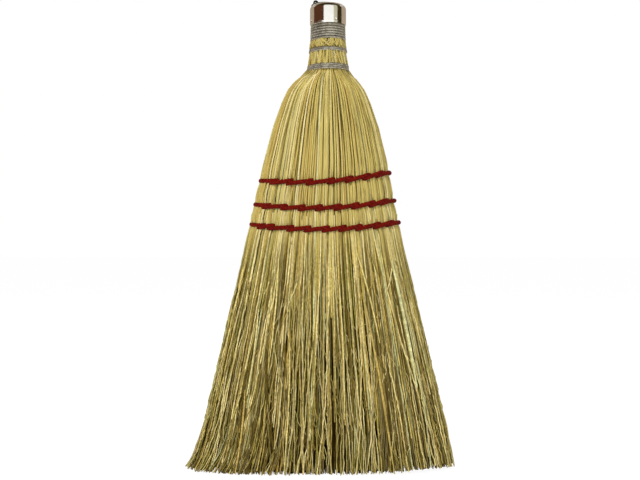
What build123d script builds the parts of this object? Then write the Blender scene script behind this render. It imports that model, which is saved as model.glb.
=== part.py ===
"""Whisk broom of sewn broomcorn with a metal cap and a hanging ring, in millimetres.

The broom stands on its trimmed tips. +Z is up, +X is to the right when its front is seen,
and the front faces -Y. The origin is the middle of the base.
"""

import math
import os
import random

from build123d import *

# Overall sizes
broom_height = 254.0
fan_width = 145.6
fan_thickness = 39.0

# Metal cap: a drawn cup pressed over the wired stalk ends
cap_radius = 9.9
cap_height = 11.3
cap_wall = 0.4
cap_corner_radius = 2.8
cap_lip_turn = 0.25
cap_lip_height = 0.9
dimple_radius = 0.9
dimple_depth = 0.3
dimple_height = 1.7
dimple_count = 4
first_dimple_angle = -65.0

# Hanging ring and the wire staple that holds it to the crown
ring_wire = 1.4
ring_radius = 6.7
ring_rest_gap = 0.2
ring_butt_gap = 0.15
eye_distance = 6.6
eye_angle = 178.0
ring_direction = 45.0
staple_wire = 1.1
staple_play = 0.2
staple_hole_fit = 0.05
staple_clinch = 1.4
staple_bend_share = 0.9

# Broomcorn handle, bound with wire
handle_offset = 4.4
corn_top_room = 0.3
wire = 0.9
wire_pitch = 1.35
wire_seat = 0.05
wire_cap_fit = 0.1
top_winding_low = 233.9
top_winding_turns = 10.5
middle_band_low = 227.5
middle_band_turns = 1.5
middle_corn_radius = 8.95
shoulder_band_low = 217.3
shoulder_band_turns = 2.5
shoulder_corn_radius = 10.05
upper_strip_radius = 9.5
lower_strip_radius = 10.3
strip_margin = 1.0
butt_step = 0.6
neck_ridges = 36

# Fan of broomcorn: five bundles, laid side by side and sewn flat
bundle_gap = 0.25
side_columns = 8
cover_layers = 3
cover_ridges = 22
side_ridges = 10
ridge_depth = 0.5
hull_low = 118.0
hull_half_width = 44.2
hull_half_thickness = 13.4
hull_offset = 1.9
squareness_handle = 2.0
squareness_fan = 2.6

# Heights of the fan's sections below the shoulder, as shares of the way from hull to shoulder,
# with half widths as shares of the hull's, and so on for thickness and offset
fan_height_shares = (0.965, 0.91, 0.83, 0.70, 0.52, 0.29)
fan_width_shares = (0.355, 0.452, 0.54, 0.655, 0.765, 0.875)
fan_thickness_shares = (0.86, 0.95, 1.01, 1.04, 1.03, 0.99)
fan_lean_shares = (0.72, 0.60, 0.56, 0.50, 0.44, 0.20)

# Free strands below the lowest stitches
strand_columns = 41
strand_layers = 11
strand_root_side = 1.35
strand_tip_side = 1.9
strand_root_depth = 1.6
strand_wander = 0.75
strand_tip_lift = 3.2
corner_rise = 2.6
corner_power = 4
flat_depth = 0.5
strand_seed = 11

# Red sewing twine: three rows, each a loop round the fan with ties through it
twine = 2.2
twine_seat = 0.15
tie_diameter = 1.6
tie_hole_fit = 0.1
tie_count = 8
tie_pitch = 9.4
row_heights = (156.4, 142.3, 130.9)
row_end_rise = 3.2
row_tilt_shares = (0.69, 0.34, 0.17)
row_arcs = 16
twine_end_gap = 3.6
twine_end_turn = 2.4

hole_overrun = 1.0

# Angles between the points on which a winding's or a row's gap to itself is measured
winding_sample_angle = 15
row_sample_angle = 3
skipped_samples = 12

crown = broom_height
cap_bottom = crown - cap_height
cap_inner_radius = cap_radius - cap_wall
top_corn_radius = cap_inner_radius - cap_lip_turn - wire_cap_fit - wire - wire_seat
side_share = 1 - 2 * side_columns / strand_columns
cover_share = 1 - 2 * cover_layers / strand_layers
butt_height = top_winding_low - wire - butt_step
corn_top = crown - cap_wall - staple_wire - corn_top_room
staple_half_span = ring_wire / 2 + staple_play + staple_wire / 2
staple_rise = ring_rest_gap + ring_wire + staple_play + staple_wire / 2
shoulder = shoulder_band_low - wire


def superellipse(half_width, half_thickness, squareness, angle):
    """Point of a rounded oval at an angle in degrees, 0 at its right end."""
    across = math.cos(math.radians(angle))
    through = math.sin(math.radians(angle))
    power = 2 / squareness
    x = half_width * math.copysign(abs(across) ** power, across)
    y = half_thickness * math.copysign(abs(through) ** power, through)
    return x, y


def oval_depth(half_width, half_thickness, squareness, x):
    """Half thickness of the oval at x from its middle."""
    inside = max(0.0, 1 - abs(x / half_width) ** squareness)
    return half_thickness * inside ** (1 / squareness)


def body_sections():
    """Sections of the outer layer from its butts down: height, half sizes, offset, squareness."""
    radii = (
        (butt_height - bundle_gap, upper_strip_radius),
        (middle_band_low + middle_band_turns * wire_pitch + wire, middle_corn_radius),
        (middle_band_low - wire, middle_corn_radius),
        (middle_band_low - wire - strip_margin, lower_strip_radius),
        (shoulder_band_low + shoulder_band_turns * wire_pitch + wire, shoulder_corn_radius),
        (shoulder, shoulder_corn_radius),
    )
    sections = [(z, radius, radius, handle_offset, squareness_handle) for z, radius in radii]
    shares = zip(fan_height_shares, fan_width_shares, fan_thickness_shares, fan_lean_shares)
    for height_share, width_share, thickness_share, lean_share in shares:
        z = hull_low + (shoulder - hull_low) * height_share
        offset = hull_offset + (handle_offset - hull_offset) * lean_share
        half_width = hull_half_width * width_share
        half_thickness = hull_half_thickness * thickness_share
        sections.append((z, half_width, half_thickness, offset, squareness_fan))
    sections.append((hull_low, hull_half_width, hull_half_thickness, hull_offset, squareness_fan))
    return sections


def section_at(height):
    """Section of the bundle at any height, between its two neighbours."""
    sections = body_sections()
    for upper, lower in zip(sections, sections[1:]):
        if lower[0] <= height <= upper[0]:
            share = (height - lower[0]) / (upper[0] - lower[0])
            return tuple(low + (high - low) * share for high, low in zip(upper, lower))
    raise ValueError("height outside the bundle")


def cover_outline(section, side):
    """Ridged outer face and flat inner face of the front (-1) or back (+1) cover."""
    z, half_width, half_thickness, offset, squareness = section
    reach = half_width * side_share - bundle_gap / 2
    inner = half_thickness * cover_share + bundle_gap / 2
    steps = cover_ridges * 2
    points = []
    for step in range(steps + 1):
        x = -reach + 2 * reach * step / steps
        valley = ridge_depth if step % 2 == 0 else 0.0
        depth = oval_depth(half_width, half_thickness, squareness, x) - valley
        points.append((offset + x, side * depth, z))
    points.append((offset + reach, side * inner, z))
    points.append((offset - reach, side * inner, z))
    return points


def side_outline(section, side):
    """Ridged outer face and flat inner face of the left (-1) or right (+1) bundle."""
    z, half_width, half_thickness, offset, squareness = section
    inner = half_width * side_share + bundle_gap / 2
    limit = math.degrees(math.acos((inner / half_width) ** (squareness / 2)))
    steps = side_ridges * 2
    points = []
    for step in range(steps + 1):
        angle = -limit + 2 * limit * step / steps
        valley = ridge_depth if step % 2 == 0 and 0 < step < steps else 0.0
        x, y = superellipse(half_width - valley, half_thickness - valley, squareness, angle)
        points.append((offset + side * x, y, z))
    return points


def core_outline(section):
    """Rectangle of the inner bundle."""
    z, half_width, half_thickness, offset, _ = section
    x = half_width * side_share - bundle_gap / 2
    y = half_thickness * cover_share - bundle_gap / 2
    return [(offset - x, -y, z), (offset + x, -y, z), (offset + x, y, z), (offset - x, y, z)]


def lofted(outlines):
    """Solid through closed outlines, straight from one to the next."""
    faces = [make_face(Polyline(outline, close=True)) for outline in outlines]
    return loft(faces, ruled=True)


def strand_places():
    """Root and tip centres of the strands of each bundle, on one grid that fans out.

    The middle strand is straight and full length, so its flat tip marks the origin.
    """
    draw = random.Random(strand_seed)
    column_step = 2 * hull_half_width / strand_columns
    layer_step = 2 * hull_half_thickness / strand_layers
    margin = strand_root_side / 2 + ridge_depth
    reach_x = hull_half_width - margin
    reach_y = hull_half_thickness - margin
    outer_x = column_step * math.floor(reach_x / column_step)
    outer_y = layer_step * math.floor(reach_y / layer_step)
    spread_x = (fan_width - strand_tip_side) / (2 * outer_x)
    spread_y = (fan_thickness - strand_tip_side) / (2 * outer_y)
    places = {"core": [], "front": [], "back": [], "left": [], "right": []}
    for column in range(strand_columns):
        x = (column - (strand_columns - 1) / 2) * column_step
        for layer in range(strand_layers):
            y = (layer - (strand_layers - 1) / 2) * layer_step
            if abs(x) > reach_x or abs(y) > oval_depth(reach_x, reach_y, squareness_fan, x):
                continue
            if abs(x) > hull_half_width * side_share:
                bundle = "right" if x > 0 else "left"
            elif abs(y) > hull_half_thickness * cover_share:
                bundle = "back" if y > 0 else "front"
            else:
                bundle = "core"
            edge = abs(x) > outer_x - column_step / 2 or abs(y) > outer_y - layer_step / 2
            middle = column == strand_columns // 2 and layer == strand_layers // 2
            wander = 0.0 if edge or middle else strand_wander
            lift = 0.0 if middle else strand_tip_lift
            tip_x = x * spread_x + draw.uniform(-wander, wander)
            tip_y = y * spread_y + draw.uniform(-wander, wander)
            rise = corner_rise * abs(2 * tip_x / fan_width) ** corner_power
            tip_z = max(0.0, rise + draw.uniform(0.0, lift) - flat_depth)
            root_z = hull_low + strand_root_depth
            places[bundle].append(((hull_offset + x, y, root_z), (tip_x, tip_y, tip_z)))
    return places


def strand(root, tip):
    """Four-sided stalk from its root to its tip."""
    root_face = Pos(*root) * Rectangle(strand_root_side, strand_root_side)
    tip_face = Pos(*tip) * Rectangle(strand_tip_side, strand_tip_side)
    return loft([root_face, tip_face], ruled=True)


def row_height(row, x, half_width):
    """Height of a stitch row at x from the middle of the fan."""
    share = x / half_width
    tilt = row_tilt_shares[row] * row_end_rise
    return row_heights[row] + tilt * share + row_end_rise * share * share


def tie_xs():
    """Places of the ties across the fan, from its middle."""
    return [(index - (tie_count - 1) / 2) * tie_pitch for index in range(tie_count)]


def tie_spots(row):
    """Middle and half length of each tie of a row."""
    _, half_width, _, offset, _ = section_at(row_heights[row])
    spots = []
    for x in tie_xs():
        z = row_height(row, x, half_width)
        _, local_width, local_thickness, _, squareness = section_at(z)
        reach = abs(x) + tie_diameter / 2
        spots.append((offset + x, z, oval_depth(local_width, local_thickness, squareness, reach)))
    return spots


def cross_rod(x, z, radius, half_length):
    """Round rod along Y, centred on the fan's middle plane."""
    return Pos(x, 0, z) * Rot(90, 0, 0) * Cylinder(radius, 2 * half_length)


def tie_holes():
    """Holes that the sewing opens in the bundles."""
    holes = []
    for row in range(len(row_heights)):
        for x, z, _ in tie_spots(row):
            holes.append(cross_rod(x, z, tie_diameter / 2 + tie_hole_fit, fan_thickness / 2))
    return holes


def bundle(bound, strands, sockets=()):
    """Bundle of broomcorn: bound stalks above, free strands below, in one solid."""
    sewn = bound - (tie_holes() + list(sockets))
    return sewn.fuse(*[strand(root, tip) for root, tip in strands])


def neck_stub():
    """Round upper end of the core, which alone runs up under the wire into the cap."""
    outlines = []
    for z in (corn_top, butt_height):
        outline = []
        for step in range(2 * neck_ridges):
            radius = top_corn_radius - ridge_depth * (step % 2)
            turn = math.pi * step / neck_ridges
            outline.append((handle_offset + radius * math.cos(turn), radius * math.sin(turn), z))
        outlines.append(outline)
    return lofted(outlines)


def biarc(start, start_way, end, end_way):
    """Two arcs that join smoothly from start to end, leaving and arriving along the given ways."""
    chord = end - start
    ways = start_way + end_way
    bend = 2 * (1 - start_way.dot(end_way))
    along = chord.dot(ways)
    reach = (math.sqrt(along * along + bend * chord.dot(chord)) - along) / bend
    near = start + start_way * reach
    far = end - end_way * reach
    joint = (near + far) * 0.5
    return [TangentArc(start, joint, tangent=start_way), TangentArc(joint, end, tangent=far - near)]


def least_gap(points, diameter, skip):
    """Least gap between stretches of a tube that lie at least skip points apart."""
    gaps = []
    for index, point in enumerate(points):
        for other in points[index + skip:]:
            gaps.append((point - other).length - diameter)
    return min(gaps)


def tube(pieces, start, way, diameter):
    """Round tube along a chain of lines and arcs."""
    section = Plane(origin=start, z_dir=way) * Circle(diameter / 2)
    return sweep(section, path=Wire(pieces))


def winding(name, corn_radius, low, turns):
    """Wire wound in one unbroken tube round the handle, its ends straight for one diameter."""
    radius = corn_radius + wire_seat + wire / 2
    climb = wire_pitch / 360

    def place(angle):
        x = handle_offset + radius * math.cos(math.radians(angle))
        return Vector(x, radius * math.sin(math.radians(angle)), low + climb * angle)

    def way(angle):
        turn = math.radians(angle)
        rise = wire_pitch / (2 * math.pi)
        return Vector(-radius * math.sin(turn), radius * math.cos(turn), rise).normalized()

    half_turns = int(2 * turns)
    start = place(0) - way(0) * wire
    end_angle = 180 * half_turns
    pieces = [Line(start, place(0))]
    for half in range(half_turns):
        angle = 180 * half
        pieces += biarc(place(angle), way(angle), place(angle + 180), way(angle + 180))
    pieces.append(Line(place(end_angle), place(end_angle) + way(end_angle) * wire))
    samples = [place(angle) for angle in range(0, end_angle + 1, winding_sample_angle)]
    print(name, "least gap to itself", round(least_gap(samples, wire, skipped_samples), 3))
    return tube(pieces, start, way(0), wire)


def twine_place(row, angle):
    """Point on the middle line of a row's twine, by its angle round the fan."""
    _, half_width, half_thickness, offset, squareness = section_at(row_heights[row])
    stand_off = twine_seat + twine / 2
    x, _ = superellipse(half_width, half_thickness, squareness, angle)
    z = row_height(row, x, half_width)
    _, local_width, local_thickness, _, _ = section_at(z)
    x, y = superellipse(local_width + stand_off, local_thickness + stand_off, squareness, angle)
    return Vector(offset + x, y, z)


def twine_way(row, angle):
    """Direction of a row's twine at an angle."""
    return (twine_place(row, angle + 1) - twine_place(row, angle - 1)).normalized()


def twine_angles(row):
    """Angles of the joints between a row's arcs, from one end at the back to the other."""
    _, half_width, _, _, squareness = section_at(row_heights[row])
    share = (twine_end_gap / 2 + twine_end_turn) / half_width
    past_middle = 90 - math.degrees(math.acos(share ** (squareness / 2)))
    step = (360 - 2 * past_middle) / row_arcs
    return [90 + past_middle + step * index for index in range(row_arcs + 1)]


def twine_end(row, angle, along):
    """Bend and straight end of a row's twine, square into the back: line, arcs, end and its way."""
    inward = Vector(0, -1, 0)
    place = twine_place(row, angle)
    way = twine_way(row, angle) * along
    bend = place + way * twine_end_turn + inward * twine_end_turn
    end = bend + inward * twine
    arcs = biarc(end - inward * twine, inward * -1, place, way * -1)
    return [Line(end, bend)] + arcs, end, inward * -1


def twine_sockets():
    """Room in the back cover for the turned-in ends of the three rows."""
    sockets = []
    for row in range(len(row_heights)):
        angles = twine_angles(row)
        for angle, along in ((angles[0], -1), (angles[-1], 1)):
            pieces, end, way = twine_end(row, angle, along)
            sockets.append(tube(pieces, end, way, twine + 2 * twine_seat))
    return sockets


def twine_row(name, row):
    """Sewing twine laid once round the fan, both ends turned in square to its back."""
    angles = twine_angles(row)
    inward = Vector(0, -1, 0)
    pieces, start, way = twine_end(row, angles[0], -1)
    for angle, following in zip(angles, angles[1:]):
        ways = twine_way(row, angle), twine_way(row, following)
        pieces += biarc(twine_place(row, angle), ways[0], twine_place(row, following), ways[1])
    last = twine_place(row, angles[-1])
    last_way = twine_way(row, angles[-1])
    bend = last + last_way * twine_end_turn + inward * twine_end_turn
    pieces += biarc(last, last_way, bend, inward)
    pieces.append(Line(bend, bend + inward * twine))
    sampled_angles = range(round(angles[0]), round(angles[-1]), row_sample_angle)
    samples = [start] + [twine_place(row, angle) for angle in sampled_angles] + [bend]
    print(name, "least gap to itself", round(least_gap(samples, twine, skipped_samples), 3))
    return tube(pieces, start, way, twine)


def row_ties(row):
    """Ties of one row: short lengths of twine drawn straight through the fan."""
    return [cross_rod(x, z, tie_diameter / 2, depth) for x, z, depth in tie_spots(row)]


def cap_profile(radius, top, corner):
    """Half outline of a round cup that opens downwards, its lip turned in."""
    lip_top = cap_bottom + cap_lip_height
    outline = [
        Line((0, top), (radius - corner, top)),
        RadiusArc((radius - corner, top), (radius, top - corner), corner),
        Line((radius, top - corner), (radius, lip_top)),
        Line((radius, lip_top), (radius - cap_lip_turn, cap_bottom)),
        Line((radius - cap_lip_turn, cap_bottom), (0, cap_bottom)),
        Line((0, cap_bottom), (0, top)),
    ]
    return Plane.XZ * make_face(outline)


def eye_place():
    """Middle of the staple on the crown."""
    x = handle_offset + eye_distance * math.cos(math.radians(eye_angle))
    return x, eye_distance * math.sin(math.radians(eye_angle))


def ring_way():
    """Direction from the staple to the middle of the ring as it lies on the crown."""
    return math.cos(math.radians(ring_direction)), math.sin(math.radians(ring_direction))


def metal_cap():
    """Drawn cup with a turned-in lip, punched dimples and two holes for the staple."""
    outer = revolve(cap_profile(cap_radius, crown, cap_corner_radius), Axis.Z)
    inner_corner = cap_corner_radius - cap_wall
    inner = revolve(cap_profile(cap_inner_radius, crown - cap_wall, inner_corner), Axis.Z)
    cup = outer - inner
    dents = []
    bosses = []
    for index in range(dimple_count):
        angle = first_dimple_angle + index * 360 / dimple_count
        out = cap_radius - dimple_depth + dimple_radius
        spot = Rot(0, 0, angle) * Pos(out, 0, cap_bottom + dimple_height)
        dents.append(spot * Sphere(dimple_radius))
        bosses.append((spot * Sphere(dimple_radius + cap_wall)) & outer)
    cup = cup + bosses - dents
    cup = Pos(handle_offset, 0, 0) * cup
    eye_x, eye_y = eye_place()
    way_x, way_y = ring_way()
    leg_hole = Cylinder(staple_wire / 2 + staple_hole_fit, 2 * cap_wall + hole_overrun)
    for side in (-1, 1):
        x = eye_x + side * staple_half_span * way_x
        y = eye_y + side * staple_half_span * way_y
        cup = cup - Pos(x, y, crown) * leg_hole
    return cup


def ring_staple():
    """Bent wire over the ring, its legs through the crown and both clinched towards its middle."""
    eye_x, eye_y = eye_place()
    span = staple_half_span
    under = -cap_wall - staple_wire / 2 - staple_hole_fit
    outline = [
        (-span + staple_clinch, under),
        (-span, under),
        (-span, staple_rise),
        (span, staple_rise),
        (span, under),
        (span + staple_clinch, under),
    ]
    way_x, way_y = ring_way()
    side = Plane(origin=(eye_x, eye_y, crown), x_dir=(way_x, way_y, 0), z_dir=(way_y, -way_x, 0))
    corners = [side.from_local_coords(Vector(x, z, 0)) for x, z in outline]
    tight = staple_wire / 2 + staple_hole_fit
    wide = span * staple_bend_share
    path = FilletPolyline(*corners, radius=[tight, wide, wide, tight])
    return tube(path.edges(), corners[0], (corners[1] - corners[0]).normalized(), staple_wire)


def hanging_ring():
    """Wire ring that lies on the crown, with its ends butted at the far side."""
    eye_x, eye_y = eye_place()
    way_x, way_y = ring_way()
    height = crown + ring_rest_gap + ring_wire / 2
    middle = Pos(eye_x + ring_radius * way_x, eye_y + ring_radius * way_y, height)
    ring = middle * Torus(ring_radius, ring_wire / 2)
    far = 2 * ring_radius
    slit = Pos(eye_x + far * way_x, eye_y + far * way_y, height) * Rot(0, 0, ring_direction)
    return ring - slit * Box(2 * ring_wire, ring_butt_gap, 2 * ring_wire)


def write(name, shape):
    """Write one sub-part to its own file."""
    if isinstance(shape, (list, tuple)):
        shape = Compound(children=list(shape))
    export_step(shape, os.path.join("parts", name + ".step"))


def main():
    os.makedirs("parts", exist_ok=True)
    sections = body_sections()
    places = strand_places()
    print("strands", sum(len(spots) for spots in places.values()))
    front = lofted([cover_outline(section, -1) for section in sections])
    back = lofted([cover_outline(section, 1) for section in sections])
    left = lofted([side_outline(section, -1) for section in sections])
    right = lofted([side_outline(section, 1) for section in sections])
    core_sections = [(top_winding_low, *sections[0][1:])] + sections
    core = lofted([core_outline(section) for section in core_sections]) + neck_stub()
    write("front_cover", bundle(front, places["front"]))
    write("back_cover", bundle(back, places["back"], twine_sockets()))
    write("left_bundle", bundle(left, places["left"]))
    write("right_bundle", bundle(right, places["right"]))
    write("core_bundle", bundle(core, places["core"]))
    windings = (
        ("top_wire_winding", top_corn_radius, top_winding_low, top_winding_turns),
        ("middle_wire_band", middle_corn_radius, middle_band_low, middle_band_turns),
        ("shoulder_wire_band", shoulder_corn_radius, shoulder_band_low, shoulder_band_turns),
    )
    for name, corn_radius, low, turns in windings:
        write(name, winding(name, corn_radius, low, turns))
    for row, name in enumerate(("upper", "middle", "lower")):
        write(name + "_twine_row", twine_row(name + " twine row", row))
        write(name + "_row_ties", row_ties(row))
    write("metal_cap", metal_cap())
    write("ring_staple", ring_staple())
    write("hanging_ring", hanging_ring())


main()
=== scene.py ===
"""Whisk broom: the finish and fine shapes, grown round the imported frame.

Lengths are in metres. +Z is up, the front faces -Y and the tips stand on Z 0.
"""

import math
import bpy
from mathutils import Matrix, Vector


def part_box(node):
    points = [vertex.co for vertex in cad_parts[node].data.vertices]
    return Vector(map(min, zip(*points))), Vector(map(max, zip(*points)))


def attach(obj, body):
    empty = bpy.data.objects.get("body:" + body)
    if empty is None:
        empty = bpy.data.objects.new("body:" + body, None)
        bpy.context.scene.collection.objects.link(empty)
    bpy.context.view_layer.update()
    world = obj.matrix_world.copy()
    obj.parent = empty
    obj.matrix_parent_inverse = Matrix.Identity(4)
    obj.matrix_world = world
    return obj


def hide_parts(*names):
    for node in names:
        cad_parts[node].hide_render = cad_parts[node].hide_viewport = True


bl_info = {
    "name": "Whisk Broom Dressing",
    "version": (1, 0, 0),
    "blender": (4, 5, 0),
    "location": "View3D > Sidebar > Broom",
    "description": "Grows the broomcorn, wire and twine of a whisk broom round its frame",
    "category": "Object",
}

from types import SimpleNamespace

import bpy
from bpy.props import FloatProperty, FloatVectorProperty, IntProperty, PointerProperty
from mathutils import Vector

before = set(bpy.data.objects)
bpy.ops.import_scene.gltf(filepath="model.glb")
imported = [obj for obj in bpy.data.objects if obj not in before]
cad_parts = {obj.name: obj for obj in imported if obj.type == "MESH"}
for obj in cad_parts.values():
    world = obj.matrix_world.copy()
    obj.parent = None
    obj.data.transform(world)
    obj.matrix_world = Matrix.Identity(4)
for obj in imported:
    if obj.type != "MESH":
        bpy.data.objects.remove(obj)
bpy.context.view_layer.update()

MM = 0.001

# Outer nodes of the broomcorn: front, back, left and right
CORN_NODES = ("front_cover", "back_cover", "left_bundle", "right_bundle")
RING_POINTS = 12
LEVEL_DIGITS = 5

# How square the bundle's oval is at the fan and at the neck, and the length that it changes over
FAN_SQUARENESS = 2.6
NECK_SQUARENESS = 2.0
NECK_LENGTH = 12 * MM

# How far a cover, a side bundle and the core reach, as shares of the half width or half depth,
# and how much of its layer's depth a side stalk keeps
COVER_REACH = 0.63
SIDE_REACH = 0.915
CORE_DEPTH = 0.4545
SIDE_CLOSENESS = 0.4

# The loose brush keeps leaning to the right down to this height
LEAN_HEIGHT = 25 * MM
TIP_LEAN = 1.8 * MM
LOW_LEAN = 2.7 * MM

# The loose brush swells below the sewn rows, and the covers swell over the shoulder
SWELL = 2.3 * MM
SWELL_LEAN = 2.6 * MM
SWELL_HEIGHT = 82 * MM
SWELL_REACH = 28 * MM
SHOULDER_SWELL = 1.1 * MM
SHOULDER_HEIGHT = 208 * MM
SHOULDER_REACH = 18 * MM

# The three sewn rows: middle height, tilt and end rise
ROW_NAMES = ("upper", "middle", "lower")
ROW_HEIGHTS = (156.4 * MM, 142.3 * MM, 130.9 * MM)
ROW_TILTS = (2.2 * MM, 1.1 * MM, 0.55 * MM)
ROW_END_RISE = 3.2 * MM

# Where each row's stitches come out below the twine, from the middle of the front, in millimetres
ROW_NOTCHES = (
    (-26.8, -18.1, -7.5, 4.0, 13.8, 23.3, 31.0),
    (-31.1, -21.2, -11.6, -2.5, 8.0, 17.3, 26.4, 33.4),
    (-34.0, -28.3, -17.9, -8.5, 1.4, 10.2, 19.0, 28.9, 36.4),
)

# How far the sewn rows draw the corn in, as shares of its half depth and half width
SEWN_DEPTH = 0.935
ROW_DEPTH = 0.035
ROW_NARROWING = 0.022
NOTCH_DEPTH = 0.13
# Painted shade that a notch adds to the stalks beside it
NOTCH_SHADE = 0.7

# How far that reaches: from a row, beside a notch, along the stalks at a notch, and, for the corn
# between the rows that takes less painted shade, from the middle row
ROW_REACH = 2.0 * MM
NOTCH_REACH = 0.8 * MM
NOTCH_HEIGHT = 4.5 * MM
SEWN_REACH = 17 * MM

# How a stitch comes out of its notch: way along it, how proud in radii, share of its lift, thickness;
# then its thickness in the middle, and the share of the width that it keeps to
STITCH_STEPS = (
    (-0.6 * MM, -2.0, 1.2, 0.7), (0.0, -0.2, 1.15, 0.8), (1.3 * MM, 0.6, 0.9, 0.9), (3.4 * MM, 0.9, 0.4, 1.0),
)
STITCH_SWELL = 1.05
STITCH_WIDEST = 0.995

# The twine round the edge of the fan: how proud and how far lifted at its ends, and where it sinks in
WRAP_STEPS = 12
WRAP_WIDTH = 0.955
WRAP_LEAN = 0.5 * MM
WRAP_PROUD = (0.9, 0.95, 1.0)
WRAP_LIFT = (0.5, 0.25, 0.0)
WRAP_ENDS = ((-2.0, 0.7), (-0.2, 0.8))

# Long stalks that lie across the front: name, top and low end (x, height), radius, tone and hue;
# then how far each bows, its depth as a share, its steps and the thickness of its ends
LAID_STALKS = (
    ("fresh", (38.5, 114.0), (52.0, 46.0), 0.85, 0.5, 1.0),
    ("warm", (24.0, 92.0), (39.5, 1.0), 0.65, 0.7, 0.07),
    ("crossing", (19.0, 121.0), (32.0, 70.0), 0.5, 0.75, 0.55),
    ("tan", (-40.0, 45.0), (-45.0, 1.0), 0.55, 0.7, 0.07),
    ("pale", (-33.0, 88.0), (-39.0, 42.0), 0.45, 0.9, 0.55),
    ("straw", (-22.0, 118.0), (-27.0, 60.0), 0.45, 0.8, 0.55),
    ("left", (-16.0, 70.0), (-19.0, 2.0), 0.42, 0.75, 0.55),
    ("right", (10.0, 104.0), (13.0, 30.0), 0.42, 0.8, 0.55),
)
LAID_BOW = 0.8 * MM
LAID_DEPTH = 1.02
LAID_STEPS = 6
LAID_END = 0.45

# How the stalks stand side by side: unevenness in a tuft and between tufts, wider spacing in the
# middle of a side bundle, the share of the width that they keep to, and where they spread and flick
PLACE_JITTER = 0.05
TUFT_JITTER = 0.15
EDGE_SPACING = 0.35
WIDEST_SHARE = 0.97
SPREAD_POWER = 1.4
FLICK_POWER = 20.0
LEAST_FLICK = 0.1
LEAST_INSIDE = 0.001

# The corners of the brush rise between these shares of the width
CORNER_RISE = 1.9 * MM
RISING_SHARES = (0.15, 0.95)

# A stalk hides inside until the bundle is wide enough for it to show; it also lies a little deeper
# or higher than its tuft, and higher if it strays
GOLDEN_SHARE = 0.618034
SHOW_JITTER = 0.12
EMERGE_SHARES = (-0.03, 0.09)
EMERGE_DEPTH = 0.16
OWN_DEPTH = 0.012
STRAY_RISE = 0.012

# Inner stalks take a painted shade, by how deep they lie, less so on the sides and at the neck
PAINTED_SHADE_DEPTHS = (0.968, 0.866)
PAINTED_SHADE_OPEN = 0.6
PAINTED_SHADE_NECK = 0.5
NECK_FADE = 18 * MM

# Stalks wander in long and short waves to the metre, and wander and thin out fully at these heights
LONG_WAVES = 34.0
SHORT_WAVES = 230.0
WAVE_STEP = 3.71
FIRM_SHARE = 0.3
LOOSE_HEIGHT = 40 * MM
THIN_HEIGHT = 70 * MM

# Stalk ends at the neck: steps along one, how far in and out they lie, the most painted shade each takes at
# random, how thick
NECK_STEPS = 7
NECK_UNEVENNESS = (-0.3 * MM, 0.15 * MM)
NECK_RANDOM_SHADE = 0.35
NECK_THICKNESS = (0.7, 1.3)

# The wire: its ends tuck in over a twelfth of a turn, and the steps of its noise and line in a turn
TUCKS_IN_TURN = 12.0
UNEVEN_STEP = 1.9
TURN_STEPS = 40

# Windings: node, piece, low and high radius of the winding, turns, unevenness
WINDINGS = (
    ("top_wire_winding", "top_winding_wire", 9.15 * MM, 8.75 * MM, 10, 0.2 * MM),
    ("middle_wire_band", "middle_band_wire", 9.95 * MM, 9.75 * MM, 2, 0.25 * MM),
    ("shoulder_wire_band", "shoulder_band_wire", 10.95 * MM, 10.8 * MM, 3, 0.2 * MM),
)

# The twine: radius of a ply and of its lay in radii of the twine, its twist, and waves to the metre
PLY_SHARE = 0.58
LAY_SHARE = 0.48
TWIST_LENGTH = 5.5 * MM
TWINE_WAVES = 420.0

# Colours of bound stalks and of loose fibres by their tone, and the heights between the two kinds
CORN_COLORS = ("straw", "pale", "tan", "olive", "brown", "green", "dark")
BOUND_TONES = ((0.0, "tan"), (0.14, "straw"), (0.75, "straw"), (0.95, "pale"), (1.0, "pale"))
LOOSE_TONES = ((0.0, "brown"), (0.15, "olive"), (0.38, "tan"), (0.68, "straw"), (1.0, "pale"))
LOOSE_FADE = (0.134, 0.11)

# Each stalk's or ply's grain starts at a place of its own, by its tone and hue; the mottle is longer
TONE_SHIFT = 173.0
HUE_SHIFT = 59.0
MOTTLE_SHARE = 0.3

# Marks on the corn: where each comes up in its noise, its strength on bound and on loose stalks, its dye
FRESH_MARK = ((0.93, 0.96), (0.35, 0.85), "green")
WARM_MARK = ((0.12, 0.07), (0.35, 0.7), "tan")
SPOT_MARK = ((0.55, 0.68), (0.3, 0.65), "brown")

# Olive blotches: where they come up in their noise, and their heights and strengths from high to low
BLOTCH_NOISE = (0.45, 0.7)
BLOTCH_HEIGHTS = (0.2, 0.02)
BLOTCH_STRENGTHS = (0.1, 0.38)

# Shades of the corn: of its streaks; the darkest and the lightest of each stalk and of the speckle, on
# bound and on loose stalks; the heights over which the tips take their own shade
STREAK_NOISE = (0.3, 0.7)
STREAK_SHADES = (0.88, 1.08)
SHADE_TURNS = 9.0
OWN_SHADES = ((0.96, 0.62), (1.04, 1.28))
SPECKLE_NOISE = (0.35, 0.65)
SPECKLE_SHADES = ((0.98, 0.7), (1.02, 1.25))
TIP_FADE = (0.12, 0.0)

# Painted shade on inner stalks: its strength on bound and on loose ones, and how much less it is at the rows
PAINTED_SHADE_STRENGTHS = (0.86, 0.98)
SEWN_SHADE_CUT = 0.5

# The twine's colour by its fibres, and where and how strongly the deep red shows in blotches
FIBRE_NOISE = (0.35, 0.7)
DEEP_NOISE = (0.4, 0.65)
DEEP_STRENGTH = 0.5

# Tarnish on metal: where its patches come up, how they stain it, and how patches and scratches roughen it
PATCH_NOISE = (0.4, 0.65)
STAIN_STRENGTH = 0.6
PATCH_ROUGHNESS = 0.1
SCRATCH_ROUGHNESS = 0.05
TARNISH_RELIEF = 0.08 * MM

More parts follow.
